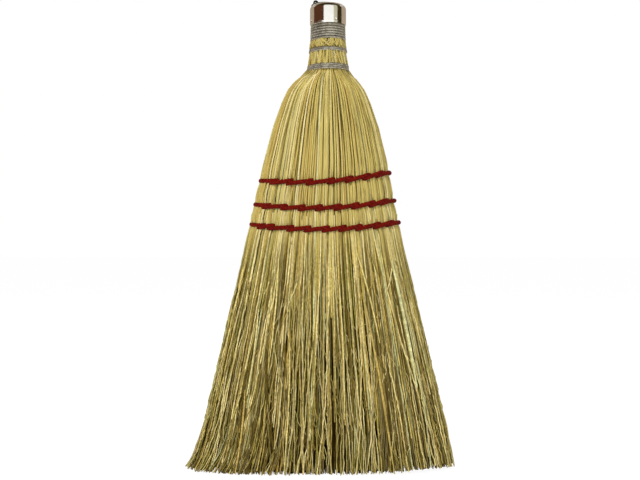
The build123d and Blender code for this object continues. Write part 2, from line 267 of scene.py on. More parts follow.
# Metals: name, setting of the colour, screen colour of the stain, metallic, roughness, patches, relief
METALS = (
    ("Plated cap", "cap_color", (226, 222, 208), 1.0, 0.05, 90.0, 0.2),
    ("Binding wire", "wire_color", (112, 104, 84), 0.8, 0.34, 500.0, 0.4),
    ("Ring wire", "ring_color", (62, 56, 42), 1.0, 0.28, 500.0, 0.3),
)

# Camera, studio light on matt surfaces, and the floor in view
CAMERA_PLACE = (0, -0.495, 0.125)
PHOTO_WIDTH_PIXELS = 640
FOCAL_PIXELS = 900
SENSOR_WIDTH_MM = 36
WORLD_LIGHT = 0.34
FLOOR_GLOW = 1.14
FLOOR_GLOW_SHARE = 0.82
FLOOR_REACH = 6.0

# Upright panels that the metal mirrors: name, angles from the front, low and high edge, screen colour
PANEL_DISTANCE = 0.8
PANEL_STEPS = 16
PANELS = (
    ("left panel", -102, -27, 0.02, 0.95, (84, 52, 34)),
    ("pale panel", 36, 62, 0.02, 0.95, (196, 192, 168)),
    ("right panel", 62, 96, 0.02, 0.95, (58, 46, 26)),
    ("rear panel", 96, 258, 0.02, 0.75, (176, 160, 142)),
)

# Ceiling panels: name, front and rear edge, screen colour
CEILING_HEIGHT = 0.95
CEILINGS = (
    ("front ceiling panel", -0.8, 0.1, (52, 38, 22)),
    ("rear ceiling panel", 0.1, 0.8, (158, 146, 128)),
)

# Lamps: name, place, size and power
LAMP_AIM = (0, 0, 0.13)
LAMPS = (
    ("key lamp", (-0.45, -0.9, 0.75), 0.45, 9.5),
    ("fill lamp", (0.8, -0.8, 0.3), 0.8, 3.6),
    ("rear lamp", (0.1, 0.9, 0.8), 0.8, 7),
)


def linear(red, green, blue):
    """Linear colour from plain 0 to 255 screen values."""
    def channel(value):
        share = value / 255
        return share / 12.92 if share <= 0.04045 else ((share + 0.055) / 1.055) ** 2.4
    return channel(red), channel(green), channel(blue)


# Reading the frame

def node_levels(node):
    """Vertices of a node gathered by height."""
    levels = {}
    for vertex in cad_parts[node].data.vertices:
        levels.setdefault(round(vertex.co.z, LEVEL_DIGITS), []).append(vertex.co)
    return levels


def bell_share(away, reach):
    """Falls from 1 in the middle to nothing away from it."""
    return math.exp(-(away / reach) ** 2)


def bundle_profile():
    """Height, half width, half thickness and sideways offset of the bundle, floor to butts."""
    levels = [node_levels(node) for node in CORN_NODES]
    profile = []
    for height in sorted(levels[2]):
        rings = [level.get(height, []) for level in levels]
        if min(len(ring) for ring in rings) < RING_POINTS or height <= ROW_HEIGHTS[-1] / 2:
            continue
        front, back, left, right = rings
        low = min(point.x for point in left)
        high = max(point.x for point in right)
        near = min(point.y for point in front)
        far = max(point.y for point in back)
        below = bell_share(height - SWELL_HEIGHT, SWELL_REACH)
        wider = SWELL * below + SHOULDER_SWELL * bell_share(height - SHOULDER_HEIGHT, SHOULDER_REACH)
        offset = (high + low) / 2 + SWELL_LEAN * below
        profile.append((height, (high - low) / 2 + wider, (far - near) / 2, offset))
    low, near = [min(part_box(node)[0][axis] for node in CORN_NODES) for axis in (0, 1)]
    high, far = [max(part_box(node)[1][axis] for node in CORN_NODES) for axis in (0, 1)]
    tip = (0.0, (high - low) / 2, (far - near) / 2, TIP_LEAN)
    share = LEAN_HEIGHT / profile[0][0]
    lean = [at_tip + (at_root - at_tip) * share for at_tip, at_root in zip(tip[1:3], profile[0][1:3])]
    return [tip, (LEAN_HEIGHT, *lean, LOW_LEAN)] + profile


PROFILE = bundle_profile()
BUTT_HEIGHT = PROFILE[-1][0]
CORN_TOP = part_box("core_bundle")[1].z
NECK_X = (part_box("metal_cap")[0].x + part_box("metal_cap")[1].x) / 2
SHOULDER, STRIP_LOW = [corner.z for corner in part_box("shoulder_wire_band")]
BAND_LOW, BAND_TOP = [corner.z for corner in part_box("middle_wire_band")]
WINDING_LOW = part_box("top_wire_winding")[0].z

# Stalk ends round the neck: name, count, low and high end, radius at both, lean and its bias
NECK_STRIPS = (
    ("core_top", 64, WINDING_LOW - 1 * MM, CORN_TOP, 7.7 * MM, 7.7 * MM, 0.1, 0.0),
    ("core_middle", 52, 212 * MM, CORN_TOP - 12 * MM, 7.7 * MM, 6.2 * MM, 0.2, 0.0),
    ("strip_under", 64, STRIP_LOW - 4 * MM, WINDING_LOW + 1 * MM, 10.1 * MM, 8.8 * MM, 0.1, 0.0),
    ("upper_strip", 66, BAND_TOP + 0.1 * MM, WINDING_LOW + 0.8 * MM, 10.0 * MM, 9.1 * MM, 0.6, 0.15),
    ("lower_strip", 74, STRIP_LOW - 1.5 * MM, BAND_LOW + 0.8 * MM, 10.95 * MM, 9.7 * MM, 0.2, 0.1),
)


def profile_at(height):
    """Half width, half thickness and offset of the bundle at a height."""
    for lower, upper in zip(PROFILE, PROFILE[1:]):
        if lower[0] <= height <= upper[0]:
            share = (height - lower[0]) / (upper[0] - lower[0])
            return tuple(low + (high - low) * share for low, high in zip(lower[1:], upper[1:]))
    return PROFILE[-1][1:]


def oval_share(share):
    """Depth share of the oval at a share of its width."""
    return max(0.0, 1 - abs(share) ** FAN_SQUARENESS) ** (1 / FAN_SQUARENESS)


def row_height(row, share):
    """Height of a sewn row at a share of the half width."""
    return ROW_HEIGHTS[row] + ROW_TILTS[row] * share + ROW_END_RISE * share * share


# Building node trees

def plain(name):
    """A socket's name as one plain word."""
    return name.lower().replace(" ", "_")


def arithmetic(operation, turned=False):
    """Python operator that adds one arithmetic node."""
    def step(value, other):
        pair = (other, value) if turned else (value, other)
        return value.graph.math(operation, *pair)
    return step


class Value:
    """What a node puts out, ready for plain arithmetic."""

    def __init__(self, graph, socket):
        self.graph = graph
        self.socket = socket

    __add__ = arithmetic("ADD")
    __radd__ = arithmetic("ADD", turned=True)
    __sub__ = arithmetic("SUBTRACT")
    __rsub__ = arithmetic("SUBTRACT", turned=True)
    __mul__ = arithmetic("MULTIPLY")
    __truediv__ = arithmetic("DIVIDE")
    __rtruediv__ = arithmetic("DIVIDE", turned=True)
    __mod__ = arithmetic("MODULO")
    __pow__ = arithmetic("POWER")


class Graph:
    """A node tree under construction."""

    def __init__(self, tree):
        self.tree = tree

    def add(self, kind, *values, **settings):
        """Adds a node, sets its options and feeds its inputs in order."""
        node = self.tree.nodes.new(kind)
        for name, value in settings.items():
            setattr(node, name, value)
        for socket, value in zip(node.inputs, values):
            self.feed(socket, value)
        return node

    def feed(self, socket, value):
        """Links a socket, or sets its value; None leaves it alone."""
        if isinstance(value, Value):
            self.tree.links.new(value.socket, socket)
        elif value is not None:
            socket.default_value = value

    def feed_named(self, node, **values):
        """Feeds a node's inputs by their names."""
        for socket in node.inputs:
            self.feed(socket, values.pop(plain(socket.name), None))
        if values:
            raise KeyError(f"{node.name} has no {sorted(values)}")

    def made(self, kind, *values, output=0, **settings):
        """Adds a node and gives back one of its outputs."""
        return Value(self, self.add(kind, *values, **settings).outputs[output])

    def outputs(self, node):
        """A node's outputs by name."""
        return SimpleNamespace(**{plain(socket.name): Value(self, socket) for socket in node.outputs})

    def put_out(self, **values):
        """Puts out the tree's results by name."""
        self.feed_named(self.tree.nodes.new("NodeGroupOutput"), **values)

    def math(self, operation, *values):
        """One arithmetic step."""
        return self.made("ShaderNodeMath", *values, operation=operation)

    def vectors(self, operation, *values):
        """One step with vectors."""
        return self.made("ShaderNodeVectorMath", *values, operation=operation)

    def vector(self, x=0.0, y=0.0, z=0.0):
        """Vector from three values."""
        return self.made("ShaderNodeCombineXYZ", x, y, z)

    def parts(self, vector):
        """The three values of a vector."""
        return [Value(self, socket) for socket in self.add("ShaderNodeSeparateXYZ", vector).outputs]

    def blend(self, share, low, high):
        """Plain blend from low to high."""
        return low + share * self.math("SUBTRACT", high, low)

    def ranged(self, value, low, high, to_low, to_high):
        """Value moved from one range to another, held at its ends."""
        return self.made("ShaderNodeMapRange", value, low, high, to_low, to_high)

    def bell(self, value, width):
        """1 at zero, falling to nothing past the width."""
        share = value / width
        return self.math("EXPONENT", share * share * -1.0)

    def noise(self, place, scale, detail, output=0):
        """Smooth noise."""
        return self.made("ShaderNodeTexNoise", place, None, scale, detail, output=output)

    def sway(self, place, scale=1.0):
        """Smooth noise to all sides of nothing."""
        return self.vectors("SUBTRACT", self.noise(place, scale, 1.0, output=1), (0.5, 0.5, 0.5))

    def attribute(self, name, output="Vector"):
        """Value stored on the mesh."""
        return self.made("ShaderNodeAttribute", output=output, attribute_name=name)

    def place(self):
        """Place in the broom's own frame."""
        return self.made("ShaderNodeTexCoord", output="Object")

    def ramp(self, share, stops):
        """Colour ramp through the given stops."""
        node = self.add("ShaderNodeValToRGB", share)
        elements = node.color_ramp.elements
        elements.remove(elements[-1])
        elements[0].position, elements[0].color = stops[0]
        for position, color in stops[1:]:
            elements.new(position).color = color
        return Value(self, node.outputs[0])

    def mix(self, share, low, high, way="MIX"):
        """Two colours mixed."""
        sockets = (share, None, None, None, None, None, low, high)
        return self.made("ShaderNodeMix", *sockets, output=2, data_type="RGBA", blend_type=way)

    def shaded(self, color, shade):
        """Colour made darker or lighter by a number."""
        grey = self.made("ShaderNodeCombineColor", shade, shade, shade)
        return self.mix(1.0, color, grey, "MULTIPLY")

    def group(self, name, **values):
        """Places a shared group with its own values and gives back its outputs by name."""
        node = self.add("ShaderNodeGroup", node_tree=bpy.data.node_groups[name])
        self.feed_named(node, **values)
        return self.outputs(node)

    def relief(self, height, strength, distance):
        """Normal for a relief of the given height."""
        node = self.add("ShaderNodeBump")
        self.feed_named(node, strength=strength, distance=distance, height=height)
        return Value(self, node.outputs[0])


def linked(name, data):
    """New object in the scene."""
    thing = bpy.data.objects.new(name, data)
    bpy.context.scene.collection.objects.link(thing)
    return thing


def new_tree(name, sockets):
    """Geometry tree with named inputs and one geometry output."""
    tree = bpy.data.node_groups.new(name, "GeometryNodeTree")
    tree.is_modifier = True
    for kind, words in {"Geometry": "geometry", **sockets, "Material": "material"}.items():
        for word in words.split():
            socket_name = word.replace("_", " ").title()
            tree.interface.new_socket(socket_name, in_out="INPUT", socket_type="NodeSocket" + kind)
    tree.interface.new_socket("Geometry", in_out="OUTPUT", socket_type="NodeSocketGeometry")
    graph = Graph(tree)
    return graph, graph.outputs(graph.add("NodeGroupInput"))


def end_tree(graph, mesh, material):
    """Smooth shading, real meshes and a material at the end of a tree."""
    smooth = graph.made("GeometryNodeSetShadeSmooth", mesh)
    real = graph.made("GeometryNodeRealizeInstances", smooth)
    graph.put_out(geometry=graph.made("GeometryNodeSetMaterial", real, None, material))


def grow(name, tree_name, material_name, values, source=None):
    """Plain mesh object that a geometry tree makes, from nothing or from a source object's data."""
    tree = bpy.data.node_groups[tree_name]
    values = {**values, "material": bpy.data.materials[material_name]}
    carrier = linked(name + "_growing", source if source else bpy.data.meshes.new(name))
    modifier = carrier.modifiers.new("growth", "NODES")
    modifier.node_group = tree
    for item in tree.interface.items_tree:
        if item.in_out == "INPUT" and plain(item.name) in values:
            modifier[item.identifier] = values[plain(item.name)]
    depsgraph = bpy.context.evaluated_depsgraph_get()
    mesh = bpy.data.meshes.new_from_object(carrier.evaluated_get(depsgraph))
    mesh.name = name
    bpy.data.objects.remove(carrier)
    return linked(name, mesh)


def finish_piece(piece, slot, *nodes):
    """Hangs a finished piece on the broom and hides the frame nodes that it stands for."""
    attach(piece, "broom")
    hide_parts(*nodes)


# Geometry trees

STALK_SOCKETS = {
    "Int": "count steps sides tuft seed",
    "Float": """
        reach facing side fill depth_low depth_high closeness rise emerge_width
        top top_spread bottom bottom_spread length thickness thin thick taper
        spread wander kink stray stray_reach flick crowding tone_low tone_high
    """,
}
NECK_SOCKETS = {
    "Int": "count sides seed",
    "Float": "low high low_radius high_radius lean bias unevenness thickness",
}
WIRE_SOCKETS = {
    "Int": "steps sides",
    "Float": "turns pitch low low_radius high_radius wire_radius unevenness",
}
TWINE_SOCKETS = {
    "Int": "plies sides",
    "Float": "ply_radius lay_radius twist_length step wobble tone hue",
}


def upright_line(graph, steps):
    """Upright line of so many points."""
    line = graph.made("GeometryNodeCurvePrimitiveLine", None, (0, 0, 1))
    return graph.made("GeometryNodeResampleCurve", line, None, steps)


def copied(graph, line, count):
    """Copies of a line, and the number of each."""
    copies = graph.outputs(graph.add("GeometryNodeDuplicateElements", line, None, count, domain="SPLINE"))
    return copies.geometry, copies.duplicate_index


def moved(graph, line, place=None, offset=None):
    """Line with its points put at a place or moved by an offset."""
    return graph.made("GeometryNodeSetPosition", line, None, place, offset)


def around_neck(graph, turn, reach, height):
    """Place round the middle of the neck."""
    x = graph.math("COSINE", turn) * reach + NECK_X
    return graph.vector(x, graph.math("SINE", turn) * reach, height)


def round_section(graph, sides):
    """Circle of radius 1, to be drawn along a line."""
    return graph.made("GeometryNodeCurvePrimitiveCircle", sides, None, None, None, 1.0, mode="RADIUS")


def profile_curve(graph, share, values):
    """Curve through the profile's values, each a share of the largest."""
    largest = max(values)
    node = graph.add("ShaderNodeFloatCurve", 1.0, share)
    points = node.mapping.curves[0].points
    places = [(row[0] / BUTT_HEIGHT, value / largest) for row, value in zip(PROFILE, values)]
    points[0].location = places[0]
    points[1].location = places[-1]
    for place in places[1:-1]:
        points.new(*place)
    for point in points:
        point.handle_type = "VECTOR"
    node.mapping.update()
    return Value(graph, node.outputs[0]) * largest


def chances(graph, given, index):
    """Function that draws a number for each stalk, the same on every run, a new one for each draw."""
    def chance(draw, low=0.0, high=1.0, identity=index):
        sockets = (None, None, low, high, None, None, None, identity, given.seed + draw)
        return graph.made("FunctionNodeRandomValue", *sockets, output=1, data_type="FLOAT")
    return chance


def marked(graph, line, name, value, kind="FLOAT_VECTOR"):
    """Line with a value stored on its points."""
    store = "GeometryNodeStoreNamedAttribute"
    return graph.made(store, line, None, name, value, data_type=kind, domain="POINT")


def stalk_mesh(graph, given, line, look, radius):
    """Tubes along the lines, with each stalk's look and its own lengthwise places stored on them."""
    parameter = graph.outputs(graph.add("GeometryNodeSplineParameter"))
    around = marked(graph, round_section(graph, given.sides), "around", parameter.factor, "FLOAT")
    line = marked(graph, line, "look", look)
    line = marked(graph, line, "grown", graph.vector(parameter.length, parameter.factor))
    mesh = graph.made("GeometryNodeCurveToMesh", line, around, radius, True)
    end_tree(graph, mesh, given.material)


def stitch_pull(graph, height, x_share, y_share, half_width):
    """How far the rows draw the corn in, all along and again at each notch."""
    draw = 0.0
    notch = 0.0
    facing_x = x_share * half_width * graph.math("SIGN", y_share) * -1.0
    rise = x_share * x_share * ROW_END_RISE
    for middle, tilt, places in zip(ROW_HEIGHTS, ROW_TILTS, ROW_NOTCHES):
        away = height - (middle + x_share * tilt + rise)
        draw = graph.bell(away, ROW_REACH) + draw
        cuts = 0.0
        for place in places:
            cuts = graph.bell(facing_x - place * MM, NOTCH_REACH) + cuts
        notch = cuts * graph.bell(away, NOTCH_HEIGHT) + notch
    return draw, notch


def stalk_tree():
    """Stalks or fibres that fan out from the neck to the tips and are drawn in at the sewn rows."""
    graph, given = new_tree("Broomcorn Stalks", STALK_SOCKETS)
    copies, index = copied(graph, upright_line(graph, given.steps), given.count)
    chance = chances(graph, given, index)
    along = graph.made("GeometryNodeSplineParameter")

    tuft = graph.math("FLOOR", index / given.tuft)
    in_tuft = index % given.tuft / given.tuft + chance(13, -PLACE_JITTER, PLACE_JITTER)
    place = tuft + chance(2, 0.0, TUFT_JITTER, tuft) + in_tuft * given.fill
    across = graph.math("MULTIPLY_ADD", place / (given.count / given.tuft), 2.0, -1.0)
    even = (1.0 - across * across) * given.facing * EDGE_SPACING
    across = across * (1.0 + even) * given.reach
    sideways = graph.blend(given.facing, across, given.side)
    corner = graph.ranged(sideways, *RISING_SHARES, 0.0, CORNER_RISE)
    short = chance(1) ** 2.0 * given.bottom_spread
    top = given.top + chance(3) * given.top_spread
    longest = top - given.length * chance(15, 0.5, 1.0)
    bottom = graph.math("MAXIMUM", given.bottom + short + corner, longest)
    height = graph.blend(along ** given.crowding, top, bottom)
    share = graph.math("MINIMUM", height / BUTT_HEIGHT, 1.0)
    half_width, half_depth, offset = [
        profile_curve(graph, share, values) for values in list(zip(*PROFILE))[1:]
    ]
    inner_width = half_width - given.thickness
    inner_depth = half_depth - given.thickness

    opening = along ** SPREAD_POWER
    spread = chance(4, -1.0) * given.spread * opening
    stray = graph.math("LESS_THAN", chance(5), given.stray)
    stray_way = chance(6, -1.0) * stray * along ** 2.0 * given.stray_reach
    across = across + (spread + stray_way) / inner_width
    across = graph.math("MINIMUM", graph.math("MAXIMUM", across, -WIDEST_SHARE), WIDEST_SHARE)
    squareness = graph.ranged(height, SHOULDER - NECK_LENGTH, SHOULDER, FAN_SQUARENESS, NECK_SQUARENESS)
    inside = graph.math("MAXIMUM", 1.0 - graph.math("ABSOLUTE", across) ** squareness, LEAST_INSIDE)
    outline = inside ** (1.0 / squareness)

    turn_to_show = graph.math("FRACT", index * GOLDEN_SHARE + chance(14, 0.0, SHOW_JITTER))
    width_share = half_width / given.emerge_width
    covered = graph.ranged(turn_to_show - width_share, *EMERGE_SHARES, 0.0, EMERGE_DEPTH)
    depth = chance(7, given.depth_low, given.depth_high, tuft) + chance(8, -OWN_DEPTH, OWN_DEPTH)
    depth = depth + opening * given.rise + stray * opening * STRAY_RISE - covered
    sunk = (1.0 - depth) * given.closeness
    outward = outline * (1.0 - sunk) * given.side
    x_share = graph.blend(given.facing, across, outward)
    y_share = graph.blend(given.facing, outward, across)
    draw, notch = stitch_pull(graph, height, x_share, y_share, half_width)
    x_scale = 1.0 - draw * ROW_NARROWING
    y_scale = 1.0 - (draw * ROW_DEPTH + notch * NOTCH_DEPTH)

    loose = graph.ranged(height, ROW_HEIGHTS[-1], LOOSE_HEIGHT, FIRM_SHARE, 1.0)
    drifts = []
    for waves, amount in ((LONG_WAVES, given.wander), (SHORT_WAVES, given.kink)):
        spot = graph.vector(index * WAVE_STEP, height * waves, given.seed)
        size = amount * loose
        drifts.append(graph.vectors("MULTIPLY", graph.sway(spot), graph.vector(size, size)))
    flick = along ** FLICK_POWER * given.flick * chance(9, LEAST_FLICK)
    x = offset + x_share * inner_width * x_scale + flick
    place = graph.vector(x, y_share * inner_depth * y_scale, height)
    placed = moved(graph, copies, graph.vectors("ADD", place, graph.vectors("ADD", *drifts)))

    # Painted shade: inner stalks darker by how deep they lie, less on the sides and at the neck, darker at
    # each notch
    in_neck = graph.ranged(height, SHOULDER, SHOULDER - NECK_FADE, PAINTED_SHADE_NECK, 1.0)
    shade = in_neck * graph.blend(given.closeness, PAINTED_SHADE_OPEN, 1.0)
    painted_shade = graph.ranged(depth, *PAINTED_SHADE_DEPTHS, 0.0, 1.0) * shade + notch * NOTCH_SHADE
    tone = chance(10, given.tone_low, given.tone_high)
    look = graph.vector(tone, chance(11), graph.math("MINIMUM", painted_shade, 1.0))
    below = graph.ranged(height, ROW_HEIGHTS[-1], THIN_HEIGHT, 0.0, 1.0)
    radius = given.thickness * chance(12, given.thin, given.thick) * (1.0 - given.taper * below)
    stalk_mesh(graph, given, placed, look, radius)


def neck_tree():
    """Short leaning stalk ends round the neck."""
    graph, given = new_tree("Neck Stalks", NECK_SOCKETS)
    copies, index = copied(graph, upright_line(graph, NECK_STEPS), given.count)
    chance = chances(graph, given, index)
    along = graph.made("GeometryNodeSplineParameter")
    lean = chance(1, -1.0) * given.lean + given.bias
    turn = (index + chance(2, -0.5, 0.5)) / given.count * math.tau + lean * (along - 0.5)
    low = given.low + chance(3, -1.0) * given.unevenness
    reach = graph.blend(along, given.high_radius, given.low_radius) + chance(4, *NECK_UNEVENNESS)
    place = around_neck(graph, turn, reach, graph.blend(along, given.high, low))
    look = graph.vector(chance(10), chance(11), chance(12, 0.0, NECK_RANDOM_SHADE))
    radius = given.thickness * chance(13, *NECK_THICKNESS)
    stalk_mesh(graph, given, moved(graph, copies, place), look, radius)


def wire_tree():
    """Wire wound round the neck in close turns, with its ends tucked in at the back."""
    graph, given = new_tree("Wound Wire", WIRE_SOCKETS)
    along = graph.made("GeometryNodeSplineParameter")
    turns = along * given.turns
    edge = graph.math("MINIMUM", turns, given.turns - turns) * TUCKS_IN_TURN
    tuck = (1.0 - graph.math("MINIMUM", edge, 1.0)) * given.wire_radius * 2.0
    uneven = graph.parts(graph.sway(graph.vector(turns * UNEVEN_STEP)))
    reach = graph.blend(along, given.low_radius, given.high_radius) + uneven[0] * given.unevenness
    height = given.low + turns * given.pitch + uneven[1] * given.unevenness
    place = around_neck(graph, turns * math.tau + math.pi / 2, reach - tuck, height)
    placed = moved(graph, upright_line(graph, given.steps), place)
    section = round_section(graph, given.sides)
    mesh = graph.made("GeometryNodeCurveToMesh", placed, section, given.wire_radius, True)
    end_tree(graph, mesh, given.material)


def twine_tree():
    """Round plies twisted about each path of the given curve, as thick as the path's points say."""
    graph, given = new_tree("Twisted Twine", TWINE_SOCKETS)
    sockets = (given.geometry, None, None, given.step)
    path = graph.made("GeometryNodeResampleCurve", *sockets, mode="LENGTH")
    copies, index = copied(graph, path, given.plies)
    share = graph.made("GeometryNodeInputRadius")
    start = index / given.plies
    length = graph.made("GeometryNodeSplineParameter", output="Length")
    angle = (length / given.twist_length + start) * math.tau
    normal = graph.made("GeometryNodeInputNormal")
    across = graph.vectors("CROSS_PRODUCT", graph.made("GeometryNodeInputTangent"), normal)
    parts = []
    for way, part in ((normal, "COSINE"), (across, "SINE")):
        amount = graph.math(part, angle) * given.lay_radius * share
        parts.append(graph.vectors("SCALE", way, None, None, amount))
    sway = graph.sway(graph.made("GeometryNodeInputPosition"), TWINE_WAVES)
    wobble = graph.vectors("SCALE", sway, None, None, given.wobble)
    plies = moved(graph, copies, None, graph.vectors("ADD", graph.vectors("ADD", *parts), wobble))
    look = graph.vector(start + given.tone, given.hue)
    stalk_mesh(graph, given, plies, look, given.ply_radius * share)


# Materials

def shared_group(name, sockets, outputs):
    """Shader group with named inputs and outputs."""
    tree = bpy.data.node_groups.new(name, "ShaderNodeTree")
    for socket_name, default in sockets.items():
        socket = tree.interface.new_socket(socket_name, in_out="INPUT", socket_type="NodeSocketFloat")
        socket.default_value = default
    for socket_name in outputs:
        tree.interface.new_socket(socket_name, in_out="OUTPUT", socket_type="NodeSocketFloat")
    graph = Graph(tree)
    return graph, graph.outputs(graph.add("NodeGroupInput"))


def grain_group():
    """Lengthwise streaks in each stalk or ply, and broad blotches over them all."""
    sockets = {"Along": 160.0, "Around": 3.0, "Blotch Scale": 60.0}
    graph, given = shared_group("Lengthwise Grain", sockets, ("Streak", "Mottle", "Blotch"))
    tone, hue = graph.parts(graph.attribute("look"))[:2]
    length = graph.parts(graph.attribute("grown"))[0]
    turned = graph.math("PINGPONG", graph.attribute("around", "Fac") * 2.0, 1.0)
    shift = tone * TONE_SHIFT + hue * HUE_SHIFT
    along = length * given.along
    graph.put_out(
        streak=graph.noise(graph.vector(turned * given.around, along, shift), 1.0, 3.0),
        mottle=graph.noise(graph.vector(shift, along * MOTTLE_SHARE, turned), 1.0, 2.0),
        blotch=graph.noise(graph.place(), given.blotch_scale, 2.0),
    )


def tarnish_group():
    """Dull patches and fine scratches for the metal pieces."""
    sockets = {"Patch Scale": 120.0, "Scratch Scale": 2500.0}
    graph, given = shared_group("Tarnish", sockets, ("Patch", "Scratch"))
    place = graph.place()
    patch = graph.noise(place, given.patch_scale, 4.0)
    scratch = graph.noise(place, given.scratch_scale, 2.0)
    graph.put_out(patch=graph.ranged(patch, *PATCH_NOISE, 0.0, 1.0), scratch=scratch)


def new_surface(name):
    """Graph and Principled surface of a new material."""
    material = bpy.data.materials.new(name)
    material.use_nodes = True
    return Graph(material.node_tree), material.node_tree.nodes["Principled BSDF"]


def corn_material(colors):
    """Dry broomcorn: each stalk has its own tone, with streaks, blotches and duller tips."""
    graph, surface = new_surface("Dry broomcorn")
    tone, hue, painted_shade = graph.parts(graph.attribute("look"))
    grain = graph.group("Lengthwise Grain", along=200.0, around=2.5, blotch_scale=60.0)
    speckle = graph.group("Lengthwise Grain", along=700.0, around=1.5, blotch_scale=900.0)
    height = graph.parts(graph.place())[2]
    dyes = {name: (*getattr(colors, name), 1.0) for name in CORN_COLORS}
    upper, lower = [
        graph.ramp(tone, [(share, dyes[name]) for share, name in stops])
        for stops in (BOUND_TONES, LOOSE_TONES)
    ]
    down = graph.ranged(height, *LOOSE_FADE, 0.0, 1.0)
    base = graph.mix(down, upper, lower)

    # A few fresh and warm stalks, brown spots, and olive blotches towards the tips
    for value, (noise, strengths, dye) in ((hue, FRESH_MARK), (hue, WARM_MARK), (grain.mottle, SPOT_MARK)):
        share = graph.ranged(value, *noise, 0.0, graph.blend(down, *strengths))
        base = graph.mix(share, base, dyes[dye])
    low = graph.ranged(height, *BLOTCH_HEIGHTS, *BLOTCH_STRENGTHS)
    base = graph.mix(graph.ranged(grain.blotch, *BLOTCH_NOISE, 0.0, 1.0) * low, base, dyes["olive"])

    # Shade of the streaks, of each stalk, of the speckle and of the tips, and the painted shade inside
    own_shade = graph.math("PINGPONG", hue * SHADE_TURNS, 1.0)
    own_range = [graph.blend(down, *shades) for shades in OWN_SHADES]
    speckle_range = [graph.blend(down, *shades) for shades in SPECKLE_SHADES]
    for shade in (
        graph.ranged(grain.streak, *STREAK_NOISE, *STREAK_SHADES),
        graph.blend(own_shade, *own_range),
        graph.ranged(speckle.streak, *SPECKLE_NOISE, *speckle_range),
        graph.ranged(height, *TIP_FADE, 1.0, colors.tip_shade),
    ):
        base = graph.shaded(base, shade)
    # Painted shade: the dark colour laid over the inner stalks, less of it round the sewn rows
    sewn = graph.bell(height - ROW_HEIGHTS[1], SEWN_REACH)
    shade_strength = painted_shade * (graph.blend(down, *PAINTED_SHADE_STRENGTHS) - sewn * SEWN_SHADE_CUT)
    base = graph.mix(shade_strength, base, dyes["dark"])
    roughness = graph.ranged(grain.streak, 0.2, 0.8, 0.45, 0.7)
    normal = graph.relief(grain.streak, 0.4, 0.0002)
    graph.feed_named(surface, base_color=base, roughness=roughness, specular_ior_level=0.08, normal=normal)


def twine_material(colors):
    """Dark red sewing twine with paler and darker fibres."""
    graph, surface = new_surface("Red sewing twine")
    grain = graph.group("Lengthwise Grain", along=900.0, around=5.0, blotch_scale=420.0)
    red, deep, bright = [(*color, 1.0) for color in (colors.twine, colors.twine_deep, colors.twine_bright)]
    share = graph.ranged(grain.streak, *FIBRE_NOISE, 0.0, 1.0)
    base = graph.ramp(share, ((0.0, deep), (0.4, red), (0.8, red), (1.0, bright)))
    in_deep = graph.ranged(grain.blotch, *DEEP_NOISE, 0.0, DEEP_STRENGTH)
    graph.feed_named(
        surface, base_color=graph.mix(in_deep, base, deep),
        roughness=0.9, specular_ior_level=0.15, sheen_weight=0.03, sheen_roughness=0.5,
        normal=graph.relief(grain.streak, 0.7, 0.0003),
    )


def metal_material(name, color, stain, metallic, roughness, patch_scale, relief):
    """Bare or plated metal with tarnish and a faint waviness."""
    graph, surface = new_surface(name)
    dull = graph.group("Tarnish", patch_scale=patch_scale, scratch_scale=2200.0)
    graph.feed_named(
        surface, base_color=graph.mix(dull.patch * STAIN_STRENGTH, (*color, 1.0), (*stain, 1.0)),
        metallic=metallic,
        roughness=roughness + dull.patch * PATCH_ROUGHNESS + dull.scratch * SCRATCH_ROUGHNESS,
        normal=graph.relief(dull.patch, relief, TARNISH_RELIEF),
    )


# Sewn paths

def thread_curve(name, paths):
    """Smooth open splines through points that each carry their share of the full thickness."""
    data = bpy.data.curves.new(name, "CURVE")
    data.dimensions = "3D"
    for path in paths:
        spline = data.splines.new("NURBS")
        spline.points.add(len(path) - 1)
        for point, (place, share) in zip(spline.points, path):
            point.co = (*place, 1.0)
            point.radius = share
        spline.order_u = 3
        spline.use_endpoint_u = True
        spline.resolution_u = 6
    return data


def sewn_place(row, share, side, proud, lift):
    """Point by a sewn row: share of the half width, front -1 or back +1, how far it stands out."""
    height = row_height(row, share)
    half_width, half_depth, offset = profile_at(height)
    depth = half_depth * oval_share(min(abs(share), STITCH_WIDEST)) * SEWN_DEPTH + proud
    return Vector((offset + share * half_width, side * depth, height + lift))


def stitch_paths(row, side, settings):
    """Slanting stitches of one row on one side, each from a low notch to the next high one."""
    half_width, _, offset = profile_at(ROW_HEIGHTS[row])
    paths = []
    for start, following in zip(ROW_NOTCHES[row], ROW_NOTCHES[row][1:]):
        start = start * MM - offset
        end = following * MM - offset + settings.stitch_lean
        points = [(start + along, proud, -lift, share) for along, proud, lift, share in STITCH_STEPS]
        points.append(((start + end) / 2, 1.0, 0.0, STITCH_SWELL))
        points += [(end - along, proud, lift, share) for along, proud, lift, share in reversed(STITCH_STEPS)]
        path = []
        for x, proud, lift, share in points:
            out = (proud * settings.twine_radius, lift * settings.stitch_rise)
            path.append((sewn_place(row, -side * x / half_width, side, *out), share))
        paths.append(path)
    return paths


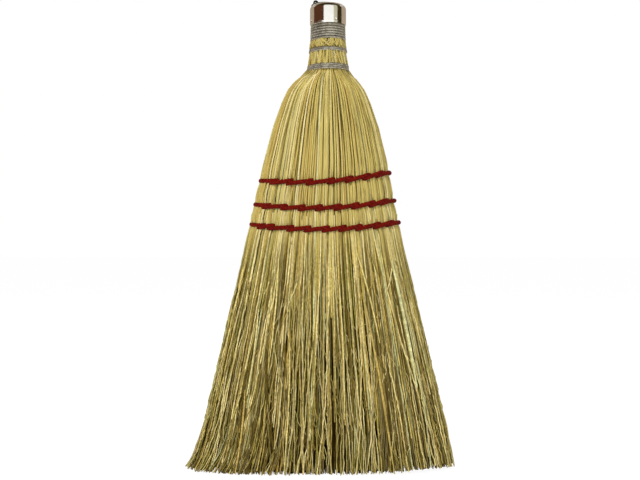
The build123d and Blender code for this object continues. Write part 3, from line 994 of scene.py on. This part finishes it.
def wrap_path(row, side, settings):
    """Twine from the last low notch of one side, round the fan's edge, to the first high notch opposite."""
    half_width, _, offset = profile_at(ROW_HEIGHTS[row])
    radius, rise = settings.twine_radius, settings.stitch_rise
    power = FAN_SQUARENESS / 2
    first = (ROW_NOTCHES[row][-1] * MM - offset) / half_width
    last = -(ROW_NOTCHES[row][0] * MM - offset + settings.stitch_lean) / half_width
    start, end = math.acos(first ** power), -math.acos(last ** power)
    path = []
    for step in range(WRAP_STEPS + 1):
        angle = start + (end - start) * step / WRAP_STEPS
        inward = min(step, WRAP_STEPS - step, len(WRAP_PROUD) - 1)
        proud = radius * WRAP_PROUD[inward]
        lift = rise * WRAP_LIFT[inward] * (1 if step > WRAP_STEPS / 2 else -1)
        share_x = math.cos(angle) ** (1 / power)
        share_y = math.copysign(abs(math.sin(angle)) ** (1 / power), math.sin(angle))
        height = row_height(row, -side * share_x)
        wide, deep, lean = profile_at(height)
        x = lean + WRAP_LEAN - side * share_x * (wide * WRAP_WIDTH + proud)
        y = side * share_y * (deep * SEWN_DEPTH + proud)
        path.append((Vector((x, y, height + lift)), 1.0))
    low_end, high_end = [
        [(sewn_place(row, share * -side, way, proud * radius, lift), thick) for proud, thick in WRAP_ENDS]
        for share, way, lift in ((first, side, -rise), (last, -side, rise))
    ]
    return low_end + path + high_end[::-1]


def laid_path(top_x, top_height, low_x, low_height):
    """A long stalk that lies slanting on the front of the brush, narrow at both ends."""
    path = []
    for step in range(LAID_STEPS + 1):
        share = step / LAID_STEPS
        height = top_height + (low_height - top_height) * share
        half_width, half_depth, offset = profile_at(height)
        x = top_x + (low_x - top_x) * share + LAID_BOW * math.sin(math.pi * share)
        depth = half_depth * oval_share((x - offset) / half_width) * LAID_DEPTH
        thickness = LAID_END + (1 - LAID_END) * math.sin(math.pi * share) ** 0.5
        path.append((Vector((x, -depth, height)), thickness))
    return path


# Settings

def length_property(name, description, default):
    """A size in metres."""
    return FloatProperty(name=name, description=description, default=default, unit="LENGTH")


def count_property(name, description, default):
    """A number of stalks or fibres."""
    return IntProperty(name=name, description=description, default=default)


def color_property(name, description, *color):
    """A colour written in screen values."""
    return FloatVectorProperty(name=name, description=description, subtype="COLOR", default=linear(*color))


class BroomCornSettings(bpy.types.PropertyGroup):
    """Sizes, counts and colours of the stalks and fibres."""

    stalk_radius: length_property("Stalk radius", "Radius of a bound stalk", 0.45 * MM)
    fibre_radius: length_property("Fibre radius", "Radius of a loose fibre", 0.36 * MM)
    neck_radius: length_property("Neck stalk radius", "Radius of a stalk end at the neck", 0.42 * MM)
    cover_stalks: count_property("Cover stalks", "Stalks in one layer of the front or back cover", 58)
    side_stalks: count_property("Side stalks", "Stalks in one layer of a side bundle", 50)
    cover_fibres: count_property("Cover fibres", "Loose fibres in one layer of a cover", 210)
    side_fibres: count_property("Side fibres", "Loose fibres in one layer of a side bundle", 170)
    core_fibres: count_property("Core fibres", "Loose fibres in the core", 500)
    tip_shade: FloatProperty(
        name="Tip shade", description="Brightness of the tips against the brush above", default=1.05,
        subtype="FACTOR",
    )
    straw: color_property("Straw", "Main colour of the stalks", 198, 180, 104)
    pale: color_property("Pale", "Palest stalks", 222, 206, 148)
    tan: color_property("Tan", "Warm stalks", 186, 158, 84)
    olive: color_property("Olive", "Greenish stalks", 152, 143, 70)
    green: color_property("Pale green", "Fresh stalks", 188, 190, 140)
    brown: color_property("Brown", "Darkest stalks", 112, 90, 34)
    # Colour of the painted shade laid over inner stalks
    dark: color_property("Dark", "Painted shade of inner stalks", 60, 44, 4)


class BroomTwineSettings(bpy.types.PropertyGroup):
    """Sizes and colours of the sewing twine."""

    twine_radius: length_property("Twine radius", "Radius of the laid twine", 1.2 * MM)
    stitch_lean: length_property("Stitch lean", "How far a stitch runs past the next notch", 3.7 * MM)
    stitch_rise: length_property("Stitch rise", "How far a stitch's ends lie off the row's line", 1.0 * MM)
    twine: color_property("Twine", "Main red", 118, 14, 0)
    twine_deep: color_property("Deep red", "Red in the hollows", 72, 5, 0)
    twine_bright: color_property("Bright red", "Red of raised fibres", 148, 38, 14)


class BroomMetalSettings(bpy.types.PropertyGroup):
    """Sizes and colours of the wire, cap and ring."""

    wire_radius: length_property("Wire radius", "Radius of the binding wire", 0.69 * MM)
    cap_color: color_property("Cap", "Colour of the plated cap", 248, 247, 240)
    wire_color: color_property("Wire", "Colour of the binding wire", 186, 181, 164)
    ring_color: color_property("Ring", "Colour of the ring and staple", 128, 122, 104)


# Operators

# What bound stalks and loose fibres are grown with, where their layer has no value of its own
BOUND = dict(
    steps=48, sides=8, tuft=3, reach=COVER_REACH, facing=0.0, fill=0.92, depth_low=0.975, depth_high=1.0,
    closeness=1.0, rise=-0.03, emerge_width=43 * MM, top=STRIP_LOW + 1 * MM, top_spread=4 * MM,
    bottom=2 * MM, bottom_spread=115 * MM, length=1.0, thin=0.85, thick=1.2, taper=0.3, spread=1.6 * MM,
    wander=1.6 * MM, kink=0.15 * MM, stray=0.0, stray_reach=0.0, flick=0.0, crowding=1.2,
    tone_low=0.0, tone_high=1.0,
)
LOOSE = dict(
    BOUND, steps=44, sides=4, tuft=4, fill=0.85, depth_low=0.945, depth_high=0.98, rise=0.0,
    emerge_width=82 * MM, top=ROW_HEIGHTS[-1] + 3 * MM, top_spread=12 * MM, bottom=0.3 * MM,
    bottom_spread=2.5 * MM, thin=0.6, thick=1.4, spread=3.0 * MM, wander=2.6 * MM, kink=1.7 * MM,
    stray=0.2, stray_reach=10 * MM, crowding=0.95,
)

# Layers of a bundle's bound stalks, loose brush and twigs: name, step of the seed, layer's share of the
# count as a fraction, and own values
BOUND_LAYERS = (
    ("_outer", 0, 1, 1, dict(flick=0.0)),
    ("_under", 40, 1, 1, dict(
        depth_low=0.9, depth_high=0.93, flick=0.0, steps=30, sides=6, emerge_width=36 * MM,
    )),
    ("_inner", 60, 1, 1, dict(
        depth_low=0.84, depth_high=0.885, flick=0.0, steps=20, sides=4, emerge_width=30 * MM,
    )),
)
BRUSH_LAYERS = (
    ("_skin", 80, 1, 3, dict(thin=0.9, thick=1.8, tuft=2)),
    ("_middle", 100, 1, 1, dict(depth_low=0.85, depth_high=0.91, steps=36, tuft=2)),
    ("_deep", 120, 3, 2, dict(
        depth_low=0.6, depth_high=0.84, steps=14, sides=3, thin=1.0, thick=2.2, taper=0.1,
        bottom_spread=3 * MM,
    )),
    ("_long", 160, 1, 8, dict(
        depth_low=0.97, depth_high=0.99, tuft=1, tone_low=0.8, thin=1.0, thick=1.5, sides=5,
        stray=0.8, stray_reach=15 * MM, spread=5 * MM, emerge_width=60 * MM,
    )),
)
TWIG_LAYERS = (
    ("_curly", 200, 1, 1, dict(
        depth_low=0.96, depth_high=0.985, top=14 * MM, top_spread=106 * MM, length=22 * MM, steps=14,
        sides=3, thin=0.65, thick=1.1, kink=3.8 * MM, spread=6 * MM, stray=0.0, tuft=3, wander=6 * MM,
        emerge_width=40 * MM, flick=0.0, crowding=1.0,
    )),
)


def grow_stalks(name, kind, radius, values):
    """Grows stalks of one kind with values of their own."""
    return grow(name, "Broomcorn Stalks", "Dry broomcorn", {**kind, "thickness": radius, **values})


def joined(name, parts):
    """Several grown meshes as one piece."""
    if len(parts) > 1:
        with bpy.context.temp_override(active_object=parts[0], selected_editable_objects=parts):
            bpy.ops.object.join()
    parts[0].name = name
    parts[0].data.name = name
    return parts[0]


def bundle_pieces(node, settings, stalks, fibres, values):
    """Bound stalks, loose brush and curly twigs of one outer bundle, as three pieces."""
    for piece, kind, radius, count, layers in (
        ("_stalks", BOUND, settings.stalk_radius, stalks, BOUND_LAYERS),
        ("_brush", LOOSE, settings.fibre_radius, fibres, BRUSH_LAYERS),
        ("_twigs", LOOSE, settings.fibre_radius, fibres, TWIG_LAYERS),
    ):
        parts = []
        for layer, step, times, parts_of, own in layers:
            number = dict(count=count * times // parts_of, seed=values["seed"] + step)
            parts.append(grow_stalks(node + layer, kind, radius, {**values, **own, **number}))
        finish_piece(joined(node + piece, parts), "broomcorn", node)


class BROOM_OT_finishes(bpy.types.Operator):
    """Mix the finishes and build the growing trees of the broom"""

    bl_idname = "broom.mix_finishes"
    bl_label = "Mix finishes"

    def execute(self, context):
        metal = context.scene.broom_metal
        grain_group()
        tarnish_group()
        corn_material(context.scene.broom_corn)
        twine_material(context.scene.broom_twine)
        for name, color, stain, *look in METALS:
            metal_material(name, getattr(metal, color), linear(*stain), *look)
        stalk_tree()
        neck_tree()
        wire_tree()
        twine_tree()
        return {"FINISHED"}


class BROOM_OT_covers(bpy.types.Operator):
    """Grow the front and back covers of broomcorn"""

    bl_idname = "broom.grow_covers"
    bl_label = "Grow covers"

    def execute(self, context):
        settings = context.scene.broom_corn
        for node, side, seed in (("front_cover", -1.0, 3), ("back_cover", 1.0, 503)):
            values = dict(side=side, seed=seed)
            bundle_pieces(node, settings, settings.cover_stalks, settings.cover_fibres, values)
        return {"FINISHED"}


class BROOM_OT_sides(bpy.types.Operator):
    """Grow the side bundles of broomcorn"""

    bl_idname = "broom.grow_sides"
    bl_label = "Grow side bundles"

    def execute(self, context):
        settings = context.scene.broom_corn
        turned = dict(facing=1.0, reach=SIDE_REACH, closeness=SIDE_CLOSENESS)
        for node, side, seed, flick in (
            ("left_bundle", -1.0, 1003, -4.6 * MM), ("right_bundle", 1.0, 1503, 0.8 * MM),
        ):
            values = dict(turned, side=side, seed=seed, flick=flick)
            bundle_pieces(node, settings, settings.side_stalks, settings.side_fibres, values)
        return {"FINISHED"}


class BROOM_OT_laid(bpy.types.Operator):
    """Lay the long slanting stalks on the front"""

    bl_idname = "broom.lay_stalks"
    bl_label = "Lay long stalks"

    def execute(self, context):
        parts = []
        for name, top, low, radius, tone, hue in LAID_STALKS:
            path = laid_path(top[0] * MM, top[1] * MM, low[0] * MM, low[1] * MM)
            parts.append(grow(name, "Twisted Twine", "Dry broomcorn", dict(
                plies=1, ply_radius=radius * MM, lay_radius=0.0, twist_length=1.0, sides=8,
                step=1.5 * MM, wobble=0.5 * MM, tone=tone, hue=hue,
            ), thread_curve(name, [path])))
        finish_piece(joined("front_laid_stalks", parts), "broomcorn", "front_cover")
        return {"FINISHED"}


class BROOM_OT_core(bpy.types.Operator):
    """Grow the inner bundle and the stalk ends at the neck"""

    bl_idname = "broom.grow_core"
    bl_label = "Grow core and neck"

    def execute(self, context):
        settings = context.scene.broom_corn
        inner = dict(depth_low=-CORE_DEPTH, depth_high=CORE_DEPTH, side=1.0, seed=2003, rise=0.0)
        stalks = dict(inner, count=60, steps=16, sides=4)
        fibres = dict(inner, count=settings.core_fibres, steps=14, sides=3)
        parts = [
            grow_stalks("core_stalks", BOUND, settings.stalk_radius, stalks),
            grow_stalks("core_fibres", LOOSE, settings.fibre_radius, fibres),
        ]
        for place, (name, count, low, high, low_radius, high_radius, lean, bias) in enumerate(NECK_STRIPS):
            parts.append(grow(name, "Neck Stalks", "Dry broomcorn", dict(
                count=count, sides=6, seed=3003 + place, low=low, high=high, low_radius=low_radius,
                high_radius=high_radius, lean=lean, bias=bias, unevenness=0.6 * MM,
                thickness=settings.neck_radius,
            )))
        finish_piece(joined("core_and_neck_stalks", parts), "broomcorn", "core_bundle")
        return {"FINISHED"}


class BROOM_OT_wires(bpy.types.Operator):
    """Wind the wire round the neck"""

    bl_idname = "broom.wind_wires"
    bl_label = "Wind wires"

    def execute(self, context):
        radius = context.scene.broom_metal.wire_radius
        for node, name, low_radius, high_radius, turns, unevenness in WINDINGS:
            low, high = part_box(node)
            piece = grow(name, "Wound Wire", "Binding wire", dict(
                turns=float(turns), pitch=(high.z - low.z - 2 * radius) / turns, low=low.z + radius,
                low_radius=low_radius, high_radius=high_radius, wire_radius=radius,
                steps=turns * TURN_STEPS, sides=10, unevenness=unevenness,
            ))
            finish_piece(piece, "binding_wire", node)
        return {"FINISHED"}


class BROOM_OT_twine(bpy.types.Operator):
    """Sew the three rows of red twine"""

    bl_idname = "broom.sew_rows"
    bl_label = "Sew rows"

    def execute(self, context):
        settings = context.scene.broom_twine
        radius = settings.twine_radius
        for row, name in enumerate(ROW_NAMES):
            paths = []
            for side in (-1, 1):
                paths += [*stitch_paths(row, side, settings), wrap_path(row, side, settings)]
            piece = grow(name + "_row_twine", "Twisted Twine", "Red sewing twine", dict(
                plies=3, ply_radius=PLY_SHARE * radius, lay_radius=LAY_SHARE * radius, sides=7,
                twist_length=TWIST_LENGTH, step=0.45 * MM, wobble=0.22 * MM,
            ), thread_curve(name, paths))
            finish_piece(piece, "red_twine", name + "_twine_row", name + "_row_ties")
        return {"FINISHED"}


class BROOM_OT_metal(bpy.types.Operator):
    """Finish the cap, staple and hanging ring"""

    bl_idname = "broom.finish_metal"
    bl_label = "Finish metal"

    def execute(self, context):
        finishes = {"metal_cap": "Plated cap", "ring_staple": "Ring wire", "hanging_ring": "Ring wire"}
        for node, name in finishes.items():
            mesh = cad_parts[node].data
            mesh.materials.clear()
            mesh.materials.append(bpy.data.materials[name])
        return {"FINISHED"}


def stage_sheet(name, vertices, faces):
    """Part of the studio made of flat faces, and the graph and surface of its own material."""
    mesh = bpy.data.meshes.new(name)
    mesh.from_pydata(vertices, [], faces)
    graph, surface = new_surface(name)
    mesh.materials.append(bpy.data.materials[name])
    sheet = linked(name, mesh)
    return sheet, graph, surface


def level_corners(reach, front, rear, height):
    """Corners of a level sheet."""
    return [(-reach, front, height), (reach, front, height), (reach, rear, height), (-reach, rear, height)]


def mirrored_panel(name, vertices, faces, color):
    """Panel of the studio that only shows in reflections."""
    panel, graph = stage_sheet(name, vertices, faces)[:2]
    glow = graph.made("ShaderNodeEmission", (*linear(*color), 1.0), 1.0)
    graph.feed(graph.tree.nodes["Material Output"].inputs[0], glow)
    for ray in ("camera", "diffuse", "transmission", "volume_scatter", "shadow"):
        setattr(panel, "visible_" + ray, False)


def curved_panel(name, first, last, low, high, color):
    """Upright panel on a circle round the broom, between two angles in degrees from the front."""
    vertices = []
    for step in range(PANEL_STEPS + 1):
        angle = math.radians(first + (last - first) * step / PANEL_STEPS)
        x, y = PANEL_DISTANCE * math.sin(angle), -PANEL_DISTANCE * math.cos(angle)
        vertices += [(x, y, low), (x, y, high)]
    faces = [(2 * step, 2 * step + 2, 2 * step + 3, 2 * step + 1) for step in range(PANEL_STEPS)]
    mirrored_panel(name, vertices, faces, color)


def area_lamp(name, place, size, power):
    """Soft square lamp aimed at the middle of the broom."""
    lamp = bpy.data.lights.new(name, "AREA")
    lamp.size = size
    lamp.energy = power
    light = linked(name, lamp)
    light.location = place
    light.rotation_euler = (Vector(LAMP_AIM) - Vector(place)).to_track_quat("-Z", "Y").to_euler()
    light.visible_glossy = False


def white_rays(graph):
    """1 for the rays that see the plain white surroundings."""
    rays = graph.outputs(graph.add("ShaderNodeLightPath"))
    seen = graph.math("MAXIMUM", rays.is_camera_ray, rays.is_transmission_ray)
    return graph.math("MAXIMUM", seen, rays.is_glossy_ray)


def pale_floor():
    """White floor that keeps the broom's soft shadow."""
    corners = level_corners(FLOOR_REACH, -FLOOR_REACH, FLOOR_REACH, 0)
    graph, surface = stage_sheet("floor", corners, [(0, 1, 2, 3)])[1:]
    graph.feed_named(surface, base_color=(0.9, 0.9, 0.9, 1.0), roughness=1.0, specular_ior_level=0.0)
    glow = graph.made("ShaderNodeEmission", (1, 1, 1, 1), FLOOR_GLOW)
    matt = Value(graph, surface.outputs[0])
    shader = graph.made("ShaderNodeMixShader", white_rays(graph) * FLOOR_GLOW_SHARE, matt, glow)
    graph.feed(graph.tree.nodes["Material Output"].inputs[0], shader)


class BROOM_OT_stage(bpy.types.Operator):
    """Set the floor, lamps, world and camera"""

    bl_idname = "broom.set_stage"
    bl_label = "Set stage"

    def execute(self, context):
        scene = context.scene
        scene.view_settings.view_transform = "Standard"
        pale_floor()
        world = bpy.data.worlds.new("Pale studio")
        scene.world = world
        world.use_nodes = True
        graph = Graph(world.node_tree)
        background = world.node_tree.nodes["Background"]
        strength = graph.blend(white_rays(graph), WORLD_LIGHT, 1.0)
        graph.feed_named(background, color=(1, 1, 1, 1), strength=strength)

        for panel in PANELS:
            curved_panel(*panel)
        for name, front, rear, color in CEILINGS:
            corners = level_corners(PANEL_DISTANCE, front, rear, CEILING_HEIGHT)
            mirrored_panel(name, corners, [(0, 1, 2, 3)], color)
        for lamp in LAMPS:
            area_lamp(*lamp)

        camera = bpy.data.cameras.new("camera")
        camera.sensor_width = SENSOR_WIDTH_MM
        camera.lens = SENSOR_WIDTH_MM * FOCAL_PIXELS / PHOTO_WIDTH_PIXELS
        camera.clip_start = 0.01
        holder = linked("camera", camera)
        holder.location = CAMERA_PLACE
        holder.rotation_euler = (math.pi / 2, 0, 0)
        scene.camera = holder
        return {"FINISHED"}


class BROOM_PT_dressing(bpy.types.Panel):
    """Shows the broom's building steps as buttons in the sidebar"""

    bl_label = "Whisk broom"
    bl_idname = "BROOM_PT_dressing"
    bl_space_type = "VIEW_3D"
    bl_region_type = "UI"
    bl_category = "Broom"

    def draw(self, context):
        for operator in OPERATORS:
            self.layout.operator(operator.bl_idname)


OPERATORS = (
    BROOM_OT_finishes, BROOM_OT_covers, BROOM_OT_sides, BROOM_OT_laid, BROOM_OT_core,
    BROOM_OT_wires, BROOM_OT_twine, BROOM_OT_metal, BROOM_OT_stage,
)
SETTINGS = (
    ("broom_corn", BroomCornSettings),
    ("broom_twine", BroomTwineSettings),
    ("broom_metal", BroomMetalSettings),
)


def register():
    """Makes the settings, operators and panel known."""
    for name, kind in SETTINGS:
        bpy.utils.register_class(kind)
        setattr(bpy.types.Scene, name, PointerProperty(type=kind))
    for kind in (*OPERATORS, BROOM_PT_dressing):
        bpy.utils.register_class(kind)


def unregister():
    """Takes them away again."""
    for kind in reversed((*OPERATORS, BROOM_PT_dressing)):
        bpy.utils.unregister_class(kind)
    for name, kind in reversed(SETTINGS):
        delattr(bpy.types.Scene, name)
        bpy.utils.unregister_class(kind)


def main():
    """Dresses the frame."""
    register()
    bpy.ops.broom.mix_finishes()
    bpy.ops.broom.grow_covers()
    bpy.ops.broom.grow_sides()
    bpy.ops.broom.lay_stalks()
    bpy.ops.broom.grow_core()
    bpy.ops.broom.wind_wires()
    bpy.ops.broom.sew_rows()
    bpy.ops.broom.finish_metal()
    bpy.ops.broom.set_stage()


if __name__ == "__main__":
    main()
